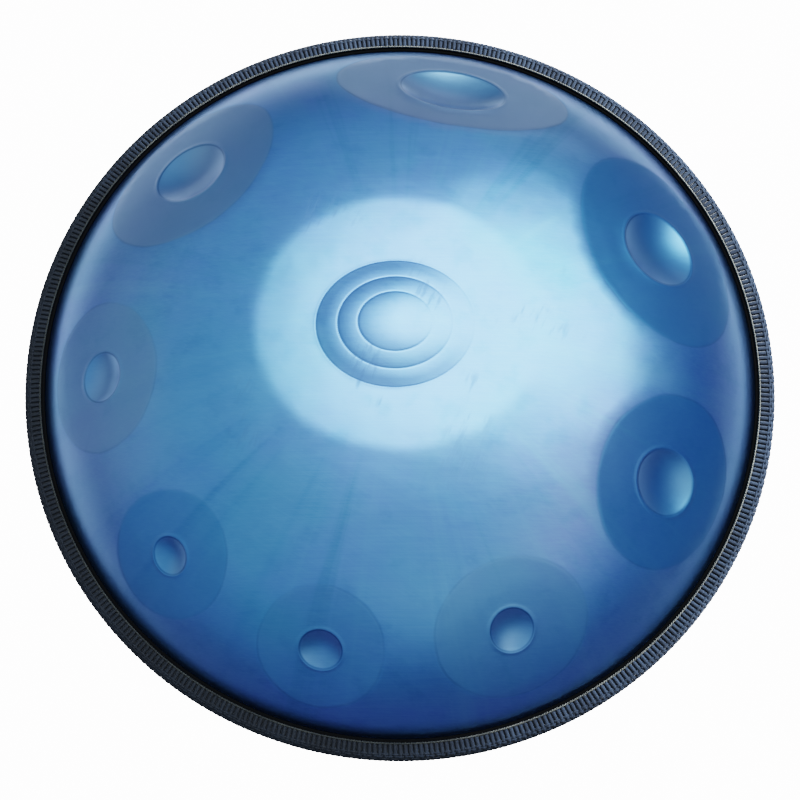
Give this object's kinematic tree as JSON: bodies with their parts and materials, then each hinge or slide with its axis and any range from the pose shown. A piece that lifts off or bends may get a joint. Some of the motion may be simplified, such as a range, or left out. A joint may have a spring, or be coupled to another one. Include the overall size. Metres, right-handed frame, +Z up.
{
  "type": "handpan",
  "caption": "Handpan with a stepped centre note and a ring of dimpled notes on a tall steel dome, a ported bottom shell and a woven rim cover.",
  "frame": {"origin": "middle of the flat ring that the drum rests on, round the port in the bottom shell", "axes": "+Z up along the drum's axis, +Y from the player towards the note with the largest dimple, +X to the player's right"},
  "size_m": [0.5599, 0.56, 0.2368],
  "materials": {
    "blue_steel": "heat-tinted blue, finely brushed, satin",
    "adhesive": "cured grey adhesive",
    "black_rubber": "smooth black rubber",
    "woven_cover": "ribbed woven cord, charcoal blue",
    "edge_cord": "thin twisted cord"
  },
  "bodies": {
    "root": {"top_shell": "blue_steel", "bottom_shell": "blue_steel", "flange_bond": "adhesive", "rim_channel": "black_rubber", "rim_weave": "woven_cover", "upper_edge_cord": "edge_cord", "lower_edge_cord": "edge_cord"}
  },
  "joints": []
}
